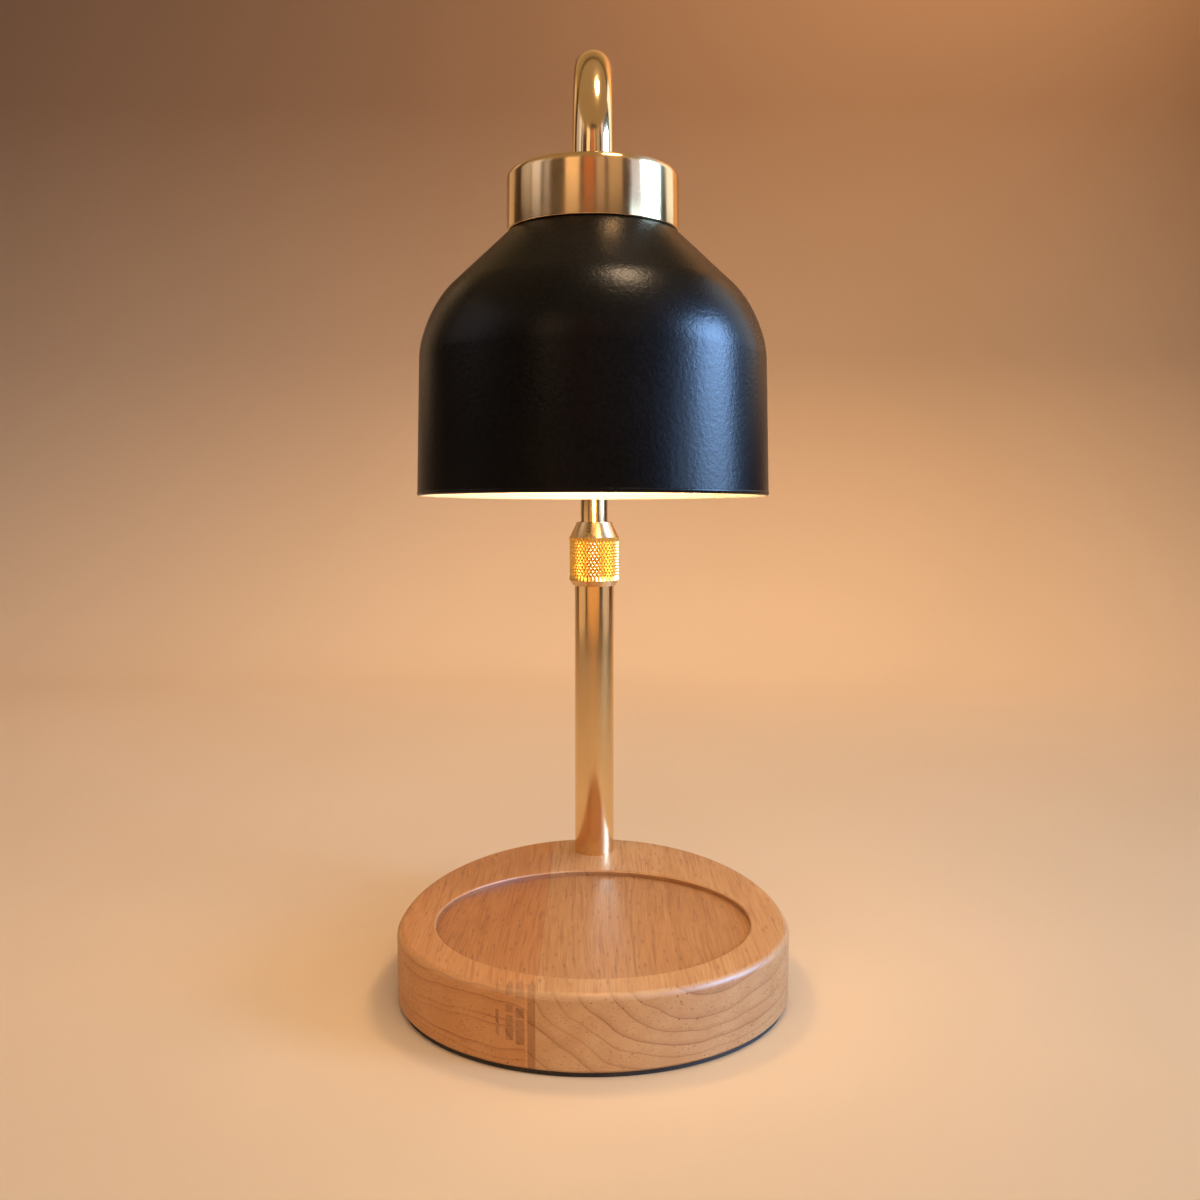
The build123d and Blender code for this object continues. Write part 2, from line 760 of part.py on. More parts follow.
with BuildPart() as slack_lead:
    with BuildSketch(post.offset(foot_top)):
        add(ring(slack_dia, slack_eye))
    extrude(amount=rod_low - foot_top)
save(slack_lead, "slack_lead")

with BuildPart() as arm_lead:
    with BuildLine():
        add(arm_path(rod_low, holder_top_h))
    with BuildSketch(post.offset(rod_low)):
        Circle(lead_dia / 2)
    sweep()
save(arm_lead, "arm_lead")

arch_top = arch_z + arch_radius + arch_dia / 2
print(f"post at y {post_y:.2f}, arch top at z {arch_top:.2f}, rod foot at z {rod_low:.2f}")
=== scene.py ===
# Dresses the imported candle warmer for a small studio: finishes, fine shapes, lamp light, floor and camera.
# Lengths are in metres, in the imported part's frame: +X to the right, +Y back to the post, +Z up.
from math import atan2, cos, pi, radians, sin, tan

import bmesh
import bpy
from mathutils import Matrix, Vector


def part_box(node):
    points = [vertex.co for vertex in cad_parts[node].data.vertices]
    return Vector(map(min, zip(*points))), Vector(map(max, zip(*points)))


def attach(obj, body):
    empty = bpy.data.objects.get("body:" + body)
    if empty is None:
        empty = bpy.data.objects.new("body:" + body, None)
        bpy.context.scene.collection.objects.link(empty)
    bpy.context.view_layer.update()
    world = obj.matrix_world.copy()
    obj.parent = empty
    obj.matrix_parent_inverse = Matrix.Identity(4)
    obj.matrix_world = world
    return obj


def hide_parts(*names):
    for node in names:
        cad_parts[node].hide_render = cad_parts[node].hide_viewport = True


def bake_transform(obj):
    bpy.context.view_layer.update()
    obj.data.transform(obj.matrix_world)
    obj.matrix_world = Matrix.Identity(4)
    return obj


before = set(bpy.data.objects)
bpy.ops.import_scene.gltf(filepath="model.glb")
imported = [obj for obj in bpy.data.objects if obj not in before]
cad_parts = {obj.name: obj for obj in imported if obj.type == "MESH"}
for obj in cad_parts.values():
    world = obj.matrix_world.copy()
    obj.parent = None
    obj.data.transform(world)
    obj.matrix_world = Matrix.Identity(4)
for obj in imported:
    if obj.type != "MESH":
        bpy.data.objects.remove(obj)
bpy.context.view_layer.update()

# Wood base: an egg-shaped block of beech, glued up from staves that run front to back. Its top is turned out
# for a round recess, its upper edge is rounded over, and it is oiled to a satin. The front shows end grain,
# and left of the middle the fingers of a joint between two lengths of board. These sizes are in mm.
stave_joint = -16.5
glue_line = (0.06, 0.2)
finger_root = -58.0
finger_tip = -53.4
fingers = (
    (-18.7, -16.5, 0.0, 25.2),
    (-22.2, -19.7, 22.7, 25.2),
    (-22.2, -19.7, 16.7, 19.6),
    (-22.2, -19.7, 8.7, 16.2),
    (-25.2, -23.0, 23.2, 25.2),
    (-25.2, -23.0, 18.0, 20.4),
    (-25.2, -23.0, 9.6, 17.2),
    (-28.2, -27.3, 23.2, 25.2),
    (-28.2, -27.3, 10.8, 18.4),
)
pale_finger = (-19.5, -18.8)
recess_radius = 52.5
recess_floor = 23.0
recess_corner = 2.5
recess_slack = 0.1
recess_band = 1.4
left_pith = (-46.0, -150.0)
right_pith = (40.0, 37.0)
left_flatness = 0.28
right_flatness = 0.62
ring_width = 4.4
ring_wander = 2.4
season_grain = 0.11
grain_bend = 9.0
bend_grain = (0.035, 0.008, 0.05)
ring_grain = (0.05, 0.02, 0.05)
board_grain = (0.13, 0.004, 0.13)
fibre_grain = (2.4, 0.05, 2.4)
streak_grain = (1.1, 0.018, 1.1)
dash_grain = (0.85, 0.022, 0.85)
ray_grain = (0.45, 0.10, 0.95)
pore_grain = (0.24, 0.08, 0.42)
middle_noise = (0.35, 0.65)
most_noise = (0.3, 0.7)
streak_noise = (0.57, 0.64)
dash_noise = (0.63, 0.68)
ray_heart = (0.12, 0.24)
pore_heart = (0.06, 0.11)
beech_pale = (0.565, 0.37, 0.205, 1)
beech_warm = (0.49, 0.30, 0.16, 1)
beech_late = (0.33, 0.165, 0.078, 1)
beech_fleck = (0.20, 0.095, 0.045, 1)
board_tint = (0.93, 0.87, 0.81, 1)
fibre_tint = (0.86, 0.79, 0.72, 1)
finger_tint = (0.70, 0.57, 0.47, 1)
left_stave_warm_light_tint = (0.97, 0.80, 0.63, 1)
recess_shade_tint = (0.82, 0.75, 0.67, 1)
corner_shade_tint = (0.66, 0.54, 0.45, 1)
mm_per_metre = 1000


def wire(tree, node, sockets):
    """Links or sets each socket that is named or numbered."""
    for socket, value in dict(sockets).items():
        if isinstance(value, bpy.types.NodeSocket):
            tree.links.new(value, node.inputs[socket])
        else:
            node.inputs[socket].default_value = value


def put(tree, kind, sockets=(), **options):
    """Adds a shader node with its options and sockets."""
    node = tree.nodes.new("ShaderNode" + kind)
    for option, value in options.items():
        setattr(node, option, value)
    wire(tree, node, sockets)
    return node


def sums(tree, operation, *values):
    """Output of a Math node on these values."""
    return put(tree, "Math", enumerate(values), operation=operation).outputs[0]


def spread(tree, value, low, high, to_low, to_high):
    """Output of a Map Range node, held to its limits."""
    return put(tree, "MapRange", enumerate((value, low, high, to_low, to_high))).outputs[0]


def stretched(tree, vector, scale):
    """A vector scaled along its axes."""
    return put(tree, "Mapping", {"Vector": vector, "Scale": scale}).outputs[0]


def noise(tree, vector, grain, detail=2.0):
    """Outputs of a noise drawn out along the axes."""
    drawn = stretched(tree, vector, grain)
    return put(tree, "TexNoise", {"Vector": drawn, "Scale": 1.0, "Detail": detail}).outputs


def cells(tree, vector, grain):
    """Distance from the hearts of cells drawn out along the axes."""
    drawn = stretched(tree, vector, grain)
    return put(tree, "TexVoronoi", {"Vector": drawn, "Scale": 1.0}).outputs["Distance"]


def shades(tree, value, stops):
    """Colour ramp output through (place, colour) stops."""
    ramp = put(tree, "ValToRGB", {"Fac": value})
    for i, (place, colour) in enumerate(stops):
        stop = ramp.color_ramp.elements[i] if i < 2 else ramp.color_ramp.elements.new(place)
        stop.position = place
        stop.color = colour
    return ramp.outputs["Color"]


def tinted(tree, amount, colour, tint, blend="MULTIPLY"):
    """Colour mixed with a tint by an amount."""
    mix = put(tree, "Mix", data_type="RGBA", blend_type=blend)
    wire(tree, mix, {0: amount, 6: colour, 7: tint})
    return mix.outputs[2]


def new_finish(name):
    """A material, its node tree and its shader."""
    material = bpy.data.materials.new(name)
    material.use_nodes = True
    return material, material.node_tree, material.node_tree.nodes["Principled BSDF"]


def dress(material, *nodes):
    """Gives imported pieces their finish."""
    for name in nodes:
        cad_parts[name].material_slots[0].material = material


beech, tree, shader = new_finish("oiled_beech")
place = put(tree, "TexCoord").outputs["Object"]
in_mm = stretched(tree, place, (mm_per_metre,) * 3)
x, y, z = put(tree, "SeparateXYZ", {0: in_mm}).outputs
drift = noise(tree, in_mm, bend_grain)["Color"]
centred = put(tree, "VectorMath", {0: drift, 1: (0.5, 0.5, 0.5)}, operation="SUBTRACT").outputs[0]
bend = put(tree, "VectorMath", {0: centred, "Scale": grain_bend}, operation="SCALE").outputs[0]
bent = put(tree, "VectorMath", {0: in_mm, 1: bend}, operation="ADD").outputs[0]
bent_x, _, bent_z = put(tree, "SeparateXYZ", {0: bent}).outputs

taper = spread(tree, y, finger_root, finger_tip, 1, 0)
finger = 0.0
for left, right, low, high in fingers:
    half = sums(tree, "MULTIPLY", taper, (right - left) / 2)
    across = sums(tree, "COMPARE", x, (left + right) / 2, half)
    upright = sums(tree, "COMPARE", z, (low + high) / 2, (high - low) / 2)
    finger = sums(tree, "MAXIMUM", finger, sums(tree, "MULTIPLY", across, upright))
pale_line = sums(tree, "COMPARE", x, sum(pale_finger) / 2, (pale_finger[1] - pale_finger[0]) / 2)
pale_line = sums(tree, "MULTIPLY", pale_line, sums(tree, "LESS_THAN", y, finger_root))
right_stave = sums(tree, "MAXIMUM", sums(tree, "GREATER_THAN", x, stave_joint), finger)

pith_x = spread(tree, right_stave, 0, 1, left_pith[0], right_pith[0])
pith_z = spread(tree, right_stave, 0, 1, left_pith[1], right_pith[1])
flatness = spread(tree, right_stave, 0, 1, left_flatness, right_flatness)
from_pith_x = sums(tree, "MULTIPLY", sums(tree, "SUBTRACT", bent_x, pith_x), flatness)
from_pith_z = sums(tree, "SUBTRACT", bent_z, pith_z)
from_pith = put(tree, "CombineXYZ", {0: from_pith_x, 1: from_pith_z}).outputs[0]
ring_radius = put(tree, "VectorMath", {0: from_pith}, operation="LENGTH").outputs["Value"]
season = put(tree, "TexNoise", {"W": ring_radius, "Scale": season_grain}, noise_dimensions="1D")
wander = sums(tree, "MULTIPLY", season.outputs["Fac"], ring_wander)
ring_count = sums(tree, "ADD", sums(tree, "DIVIDE", ring_radius, ring_width), wander)
ring_colour = shades(
    tree,
    sums(tree, "FRACT", ring_count),
    [(0.0, beech_pale), (1.0, beech_pale), (0.60, beech_pale), (0.87, beech_warm), (0.95, beech_late)],
)
facing = put(tree, "SeparateXYZ", {0: put(tree, "NewGeometry").outputs["Normal"]}).outputs
end_grain = spread(tree, sums(tree, "ABSOLUTE", facing[1]), 0.1, 0.6, 0, 1)
side_grain = sums(tree, "SUBTRACT", 1.0, end_grain)
ring_shown = sums(
    tree,
    "MULTIPLY",
    spread(tree, noise(tree, in_mm, ring_grain)["Fac"], *middle_noise, 0.5, 1.0),
    spread(tree, end_grain, 0, 1, 0.35, 1.0),
)
wood = tinted(tree, ring_shown, beech_pale, ring_colour, "MIX")
board = spread(tree, noise(tree, bent, board_grain)["Fac"], *middle_noise, 0, 1)
wood = tinted(tree, board, wood, board_tint)
fibre = noise(tree, bent, fibre_grain, detail=4.0)["Fac"]
wood = tinted(tree, spread(tree, fibre, *most_noise, 0, 1), wood, fibre_tint)
for grain, detail, shown in ((streak_grain, 2.0, streak_noise), (dash_grain, 1.0, dash_noise)):
    mark = spread(tree, noise(tree, bent, grain, detail)["Fac"], *shown, 0, 0.5)
    wood = tinted(tree, sums(tree, "MULTIPLY", mark, side_grain), wood, beech_late, "MIX")
ray = spread(tree, cells(tree, bent, ray_grain), *ray_heart, 0.42, 0)
pore = spread(tree, cells(tree, bent, pore_grain), *pore_heart, 0.85, 0)
fleck = sums(tree, "MAXIMUM", ray, sums(tree, "MULTIPLY", pore, end_grain))
wood = tinted(tree, fleck, wood, beech_fleck, "MIX")
wood = tinted(tree, finger, wood, finger_tint)
wood = tinted(tree, sums(tree, "MULTIPLY", pale_line, 0.55), wood, beech_pale, "MIX")
# The left stave is a deeper tone: its own colour, deepened further as painted warm light on the left.
wood = tinted(tree, sums(tree, "SUBTRACT", 1.0, right_stave), wood, left_stave_warm_light_tint)
from_joint = sums(tree, "ABSOLUTE", sums(tree, "SUBTRACT", x, stave_joint))
wood = tinted(tree, spread(tree, from_joint, *glue_line, 0.6, 0), wood, beech_late, "MIX")
flat_place = put(tree, "CombineXYZ", {0: x, 1: y}).outputs[0]
from_centre = put(tree, "VectorMath", {0: flat_place}, operation="LENGTH").outputs["Value"]
# Painted shade: the recess floor is made darker than the top.
in_recess = sums(
    tree,
    "MULTIPLY",
    sums(tree, "LESS_THAN", from_centre, recess_radius + recess_slack),
    sums(tree, "COMPARE", z, recess_floor, recess_band),
)
wood = tinted(tree, in_recess, wood, recess_shade_tint)
# Painted shade: the recess floor gets darker still towards its corner.
corner = spread(tree, from_centre, recess_radius - recess_corner, recess_radius, 0, 0.5)
wood = tinted(tree, sums(tree, "MULTIPLY", in_recess, corner), wood, corner_shade_tint)
# The rounded edges, which face partly up, are made paler: a painted highlight, and partly rubbed, less
# stained wood.
rounded = sums(
    tree, "MULTIPLY", spread(tree, facing[2], 0.1, 0.4, 0, 0.35), spread(tree, facing[2], 0.98, 0.8, 0, 1)
)
wood = tinted(tree, rounded, wood, beech_pale, "MIX")
relief = sums(tree, "SUBTRACT", sums(tree, "MULTIPLY", fibre, 0.4), fleck)
wood_bump = put(tree, "Bump", {"Height": relief, "Strength": 0.35, "Distance": 0.0001})
satin = spread(tree, fibre, *most_noise, 0.40, 0.54)
wire(tree, shader, {"Base Color": wood, "Roughness": satin, "Normal": wood_bump.outputs[0]})
dress(beech, "wood_base")

# Foot pad: a dark closed-cell foam sheet glued under the wood. The weight presses it flat, so that its edge
# creeps out nearly to the wood's and shows as a thin black line round the base.
pad_creep = 0.0038
foam_dark = (0.012, 0.012, 0.013, 1)
foam_light = (0.03, 0.029, 0.028, 1)


def two_tones(tree, value, dark, light, span=most_noise):
    """A colour that runs from a dark to a light tone over a span of a value."""
    return shades(tree, value, [(span[0], dark), (span[1], light)])


def piece(bm, name, *materials, sharp=35.0, place=None):
    """Makes an object of a finished mesh, smooth but for edges sharper than an angle."""
    mesh = bpy.data.meshes.new(name)
    if place is not None:
        bmesh.ops.transform(bm, matrix=place, verts=bm.verts)
    for face in bm.faces:
        face.smooth = True
    for edge in bm.edges:
        edge.smooth = not edge.is_boundary and edge.calc_face_angle(0) < radians(sharp)
    bm.to_mesh(mesh)
    bm.free()
    for material in materials:
        mesh.materials.append(material)
    made = bpy.data.objects.new(name, mesh)
    bpy.context.scene.collection.objects.link(made)
    return made


pad_foam, tree, shader = new_finish("foot_foam")
place = put(tree, "TexCoord").outputs["Object"]
bubbles = put(tree, "TexVoronoi", {"Vector": place, "Scale": 1600.0}).outputs["Distance"]
clouds = put(tree, "TexNoise", {"Vector": place, "Scale": 60.0, "Detail": 3.0}).outputs["Fac"]
pad_bump = put(tree, "Bump", {"Height": bubbles, "Strength": 0.5, "Distance": 0.0002})
wire(
    tree,
    shader,
    {
        "Base Color": two_tones(tree, clouds, foam_dark, foam_light),
        "Roughness": spread(tree, bubbles, 0, 0.7, 0.95, 0.7),
        "Normal": pad_bump.outputs[0],
    },
)
cut_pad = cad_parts["foot_pad"]
bm = bmesh.new()
bm.from_mesh(cut_pad.data)
bmesh.ops.transform(bm, matrix=cut_pad.matrix_world, verts=bm.verts)
bmesh.ops.remove_doubles(bm, verts=bm.verts, dist=1e-6)
bm.normal_update()
outward = []
for vert in bm.verts:
    sides = [face.normal for face in vert.link_faces if abs(face.normal.z) < 0.5]
    outward.append(sum(sides, Vector()).normalized())
for vert, way in zip(bm.verts, outward):
    vert.co += pad_creep * way
pad = piece(bm, "pressed_pad", pad_foam)
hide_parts("foot_pad")
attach(pad, "base")

# Ballast, cover, screws and nipples: plated steel, rolled or turned, screwed up into the wood's pocket or
# used to hold the post and the head. The handling marks are shared with the other hard finishes: smears,
# and fine lines that make the gloss uneven.
steel_dark = (0.50, 0.50, 0.49, 1)
steel_light = (0.66, 0.65, 0.62, 1)
smear_share = 0.6
line_share = 0.4

marks = bpy.data.node_groups.new("handling_marks", "ShaderNodeTree")
mark_inputs = {"Vector": "Vector", "Smears": "Float", "Lines": "Vector", "Gloss": "Float", "Dull": "Float"}
for name, kind in mark_inputs.items():
    marks.interface.new_socket(name, in_out="INPUT", socket_type="NodeSocket" + kind)
for name in ("Roughness", "Height"):
    marks.interface.new_socket(name, in_out="OUTPUT", socket_type="NodeSocketFloat")
given = marks.nodes.new("NodeGroupInput").outputs
smears = put(marks, "TexNoise", {"Vector": given["Vector"], "Scale": given["Smears"], "Detail": 3.0})
lined = put(marks, "VectorMath", {0: given["Vector"], 1: given["Lines"]}, operation="MULTIPLY")
lines = put(marks, "TexNoise", {"Vector": lined.outputs[0], "Scale": 1.0, "Detail": 2.0})
both = sums(
    marks,
    "ADD",
    sums(marks, "MULTIPLY", smears.outputs["Fac"], smear_share),
    sums(marks, "MULTIPLY", lines.outputs["Fac"], line_share),
)
uneven = spread(marks, both, *middle_noise, given["Gloss"], given["Dull"])
wire(marks, marks.nodes.new("NodeGroupOutput"), {"Roughness": uneven, "Height": lines.outputs["Fac"]})


def add_marks(tree, vector, smears, lines, gloss, dull):
    """Places the handling marks in a finish."""
    node = put(tree, "Group", node_tree=marks)
    wire(tree, node, {"Vector": vector, "Smears": smears, "Lines": lines, "Gloss": gloss, "Dull": dull})
    return node.outputs


steel, tree, shader = new_finish("plated_steel")
place = put(tree, "TexCoord").outputs["Object"]
worn = add_marks(tree, place, smears=90.0, lines=(4000, 60, 4000), gloss=0.22, dull=0.42)
steel_tone = two_tones(tree, worn["Height"], steel_dark, steel_light, middle_noise)
wire(tree, shader, {"Base Color": steel_tone, "Metallic": 1.0, "Roughness": worn["Roughness"]})
dress(steel, "ballast_plate", "ballast_screws", "bottom_cover", "cover_screws", "post_nipple", "post_washer")
dress(steel, "post_nut", "guide_clips", "joint_screw", "neck_nipple", "cap_spacer", "neck_washer", "neck_nut")
dress(steel, "holder_bridge", "holder_screws", "bulb_pins")

# Cord gland: a black nylon bush pressed into the tail. Terminal block and guide bush: white nylon, one fixed
# in the wood's pocket and one held between clips on the rod. All are moulded, with a fine eroded texture.
nylon_black = ((0.012, 0.012, 0.013, 1), (0.02, 0.02, 0.021, 1))
nylon_white = ((0.72, 0.70, 0.65, 1), (0.80, 0.78, 0.73, 1))


def moulded(name, tones, gloss, dull):
    """Moulded nylon between two tones."""
    nylon, tree, shader = new_finish(name)
    place = put(tree, "TexCoord").outputs["Object"]
    worn = add_marks(tree, place, smears=150.0, lines=(2500, 2500, 2500), gloss=gloss, dull=dull)
    grain = put(tree, "Bump", {"Height": worn["Height"], "Strength": 0.25, "Distance": 0.00008})
    tone = two_tones(tree, worn["Height"], *tones)
    wire(tree, shader, {"Base Color": tone, "Roughness": worn["Roughness"], "Normal": grain.outputs[0]})
    return nylon


dress(moulded("black_nylon", nylon_black, gloss=0.38, dull=0.55), "cord_gland")
dress(moulded("white_nylon", nylon_white, gloss=0.35, dull=0.5), "terminal_block", "guide_bush")

# Post, rod and arch: brass tube and bar, drawn, bent, then polished and lacquered to a champagne gold.
# The tube screws down on the wood, the rod slides in it, and the arch is held on the rod by a set screw.
brass_dark = (0.80, 0.56, 0.28)
brass_light = (0.87, 0.65, 0.37)


def brass_finish(name, smears, lines, gloss, dull, depth, stretch=0.0, turn=0.0, tint=(1, 1, 1)):
    """Lacquered brass with handling marks and drawing or turning lines."""
    metal, tree, shader = new_finish(name)
    place = put(tree, "TexCoord").outputs["Object"]
    along = put(tree, "Mapping", {"Vector": place, "Rotation": (radians(turn), 0, 0)}).outputs[0]
    worn = add_marks(tree, along, smears, lines, gloss, dull)
    patina = put(tree, "TexNoise", {"Vector": place, "Scale": 28.0, "Detail": 4.0}).outputs["Fac"]
    polish = put(tree, "Bump", {"Height": worn["Height"], "Strength": depth, "Distance": 0.00003})
    dark, light = ((*(Vector(tone) * Vector(tint)), 1) for tone in (brass_dark, brass_light))
    wire(
        tree,
        shader,
        {
            "Base Color": two_tones(tree, patina, dark, light),
            "Metallic": 1.0,
            "Roughness": worn["Roughness"],
            "Anisotropic": stretch,
            "Anisotropic Rotation": 0.25,
            "Normal": polish.outputs[0],
        },
    )
    return metal


brass = brass_finish(
    "polished_brass", smears=45.0, lines=(2600, 2600, 120), gloss=0.09, dull=0.18, depth=0.04
)
dress(brass, "tube_foot", "lower_tube", "collet_body", "slide_rod", "arch_tube")

# Lock collar: turned brass with a diamond knurl rolled into its band, so that fingers can grip it.
# Its lip is chamfered and its top is a cone. It screws down on the collet and clamps the rod.
post = (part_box("lower_tube")[0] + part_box("lower_tube")[1]) / 2
collar_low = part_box("lock_collar")[0].z
collar_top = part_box("lock_collar")[1].z
lip_radius = 0.0082
band_radius = 0.0096
band_low = collar_low + 0.0022
band_top = collar_low + 0.0187
cone_radius = 0.0092
cone_low = band_top + 0.0004
tip_radius = 0.00665
rod_hole = 0.0055
rod_hole_low = collar_top - 0.0019
taper_top_radius = 0.0065
taper_radius = 0.00725
taper_low = 0.145
thread_radius = 0.0079
thread_top = 0.1363
knurl_around = 40
knurl_rows = 14
knurl_depth = 0.0006
knurl_lamp_light_tint = (1, 0.87, 0.42)


def turned(bm, profile, steps, rounds=(), closed=True):
    """Spins (radius, height) points about Z, with (point, radius, segments) corners rounded."""
    points = [bm.verts.new((radius, 0, height)) for radius, height in profile]
    ends = points[1:] + points[:1] if closed else points[1:]
    for pair in zip(points, ends):
        bm.edges.new(pair)
    for i, bow, segments in rounds:
        before, corner, after = (Vector(profile[j % len(profile)]) for j in (i - 1, i, i + 1))
        turn = (corner - before).angle(after - corner)
        bmesh.ops.bevel(
            bm, geom=[points[i]], offset=bow * tan(turn / 2), offset_type="OFFSET", affect="VERTICES",
            segments=segments, profile=0.5, material=-1,
        )
    bmesh.ops.spin(
        bm, geom=bm.verts[:] + bm.edges[:], cent=(0, 0, 0), axis=(0, 0, 1), dvec=(0, 0, 0), angle=2 * pi,
        steps=steps, use_merge=True, use_duplicate=False,
    )
    bmesh.ops.remove_doubles(bm, verts=bm.verts, dist=1e-7)
    bmesh.ops.recalc_face_normals(bm, faces=bm.faces)


bm = bmesh.new()
row_high = (band_top - band_low) / knurl_rows
turned(
    bm,
    [
        (thread_radius, collar_low),
        (lip_radius, collar_low),
        *((band_radius, band_low + row * row_high) for row in range(knurl_rows + 1)),
        (cone_radius, cone_low),
        (tip_radius, collar_top),
        (rod_hole, collar_top),
        (rod_hole, rod_hole_low),
        (taper_top_radius, rod_hole_low),
        (taper_radius, taper_low),
        (taper_radius, thread_top),
        (thread_radius, thread_top),
    ],
    2 * knurl_around,
)
for vert in bm.verts:
    row = round((vert.co.z - band_low) / row_high)
    on_band = abs(vert.co.xy.length - band_radius) < 1e-6 and 0 < row < knurl_rows
    column = round(atan2(vert.co.y, vert.co.x) / pi * knurl_around)
    if on_band and (row + column) % 2:
        vert.co.xy *= 1 - knurl_depth / band_radius
for face in list(bm.faces):
    low = [vert for vert in face.verts if band_low < vert.co.z < band_top]
    low = [vert for vert in low if band_radius - knurl_depth * 1.01 < vert.co.xy.length < band_radius - 1e-6]
    if len(low) == 2 and len(face.verts) == 4:
        bmesh.utils.face_split(face, low[0], low[1])
for face in bm.faces:
    face.material_index = int(not band_low < face.calc_center_median().z < band_top)
# The knurled band's brass is tinted deeper orange: painted warm lamp light on the collar.
lamp_tinted_knurl_brass = brass_finish(
    "knurled_brass_lamp_tinted", smears=300.0, lines=(3000, 3000, 3000), gloss=0.34, dull=0.44, depth=0.1, tint=knurl_lamp_light_tint
)
bright_brass = brass_finish(
    "turned_collar_brass", smears=90.0, lines=(90, 90, 7000), gloss=0.26, dull=0.36, depth=0.1, stretch=0.85
)
collar_place = Matrix.Translation((post.x, post.y, 0))
collar = piece(bm, "knurled_collar", lamp_tinted_knurl_brass, bright_brass, sharp=20.0, place=collar_place)
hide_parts("lock_collar")
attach(collar, "lock_collar")

# Shade: a bell spun from thin sheet, powder coated matt black outside and enamelled white inside to throw
# the light down. Its edge is rolled over a wire. It hangs under the cap, tilted a little to the front.
head_tilt = -2.2
head = Matrix.Translation((0, 0, 0.166)) @ Matrix.Rotation(radians(head_tilt), 4, "X")
head_steps = 160
rim_radius = 0.0566
shoulder = (0.0554, 0.057)
shoulder_round = 0.033
crown = (0.0244, 0.0865)
crown_round = 0.0015
crown_hole = 0.005
shade_wall = 0.0009
wire_radius = 0.0008
wire_ring = rim_radius + 0.00015 - wire_radius
coat_dark = (0.0018, 0.0018, 0.002, 1)
coat_light = (0.0036, 0.0036, 0.004, 1)
enamel_dark = (0.80, 0.76, 0.69, 1)
enamel_light = (0.86, 0.83, 0.77, 1)

black_coat, tree, shader = new_finish("black_powder_coat")
place = put(tree, "TexCoord").outputs["Object"]
worn = add_marks(tree, place, smears=35.0, lines=(1500, 1500, 1500), gloss=0.26, dull=0.33)
dimples = {"Vector": place, "Scale": 780.0, "Detail": 0.5, "Distortion": 0.6}
peel = put(tree, "TexNoise", dimples).outputs["Fac"]
coat_bump = put(tree, "Bump", {"Height": peel, "Strength": 0.55, "Distance": 0.0001})
wire(
    tree,
    shader,
    {
        "Base Color": two_tones(tree, peel, coat_dark, coat_light),
        "Roughness": worn["Roughness"],
        "Specular IOR Level": 0.16,
        "Normal": coat_bump.outputs[0],
    },
)
white_enamel, tree, shader = new_finish("white_enamel")
place = put(tree, "TexCoord").outputs["Object"]
worn = add_marks(tree, place, smears=60.0, lines=(1200, 1200, 1200), gloss=0.28, dull=0.42)
enamel_tone = two_tones(tree, worn["Height"], enamel_dark, enamel_light)
wire(tree, shader, {"Base Color": enamel_tone, "Roughness": worn["Roughness"]})

bm = bmesh.new()
turned(
    bm,
    [(rim_radius, wire_radius), shoulder, crown, (crown_hole, crown[1])],
    head_steps,
    rounds=((1, shoulder_round, 28), (2, crown_round, 6)),
    closed=False,
)
bell = piece(bm, "shade_bell", black_coat, white_enamel, place=head)
wall = bell.modifiers.new("wall", "SOLIDIFY")
wall.thickness = shade_wall
wall.offset = -1.0
wall.use_even_offset = True
wall.material_offset = 1
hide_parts("shade")
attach(bell, "arm")

bm = bmesh.new()
ring_verts = bmesh.ops.create_circle(bm, segments=16, radius=wire_radius)["verts"]
bmesh.ops.rotate(bm, verts=ring_verts, matrix=Matrix.Rotation(pi / 2, 3, "X"))
bmesh.ops.translate(bm, verts=ring_verts, vec=(wire_ring, 0, wire_radius))
bmesh.ops.spin(
    bm, geom=bm.verts[:] + bm.edges[:], cent=(0, 0, 0), axis=(0, 0, 1), dvec=(0, 0, 0), angle=2 * pi,
    steps=head_steps, use_merge=True, use_duplicate=False,
)
bmesh.ops.recalc_face_normals(bm, faces=bm.faces)
for face in bm.faces:
    face.material_index = int(face.calc_center_median().xy.length < wire_ring)
rolled_edge = piece(bm, "shade_rolled_edge", black_coat, white_enamel, place=head)
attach(rolled_edge, "arm")

# Cap: a brass cup over the top of the shade, turned on a lathe and lacquered. Its upper edge is rounded and
# its lower edge is broken. The fine turning lines draw its reflections out into upright streaks.
cap_radius = 0.0276
cap_wall = 0.0012
cap_low = 0.08405
cap_top = 0.103
cap_round = 0.0025
cap_outer_break = 0.0004
cap_inner_break = 0.0003
neck_hole = 0.0051
turned_brass = brass_finish(
    "turned_brass", smears=60.0, lines=(90, 90, 7000), gloss=0.17, dull=0.26, depth=0.12, stretch=0.9,
    turn=-head_tilt,
)
bm = bmesh.new()
turned(
    bm,
    [
        (neck_hole, cap_top),
        (cap_radius, cap_top),
        (cap_radius, cap_low),
        (cap_radius - cap_wall, cap_low),
        (cap_radius - cap_wall, cap_top - cap_wall),
        (neck_hole, cap_top - cap_wall),
    ],
    head_steps,
    rounds=((1, cap_round, 8), (2, cap_outer_break, 4), (3, cap_inner_break, 3)),
)
cup = piece(bm, "turned_cap", turned_brass, place=head)
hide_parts("cap")
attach(cup, "arm")

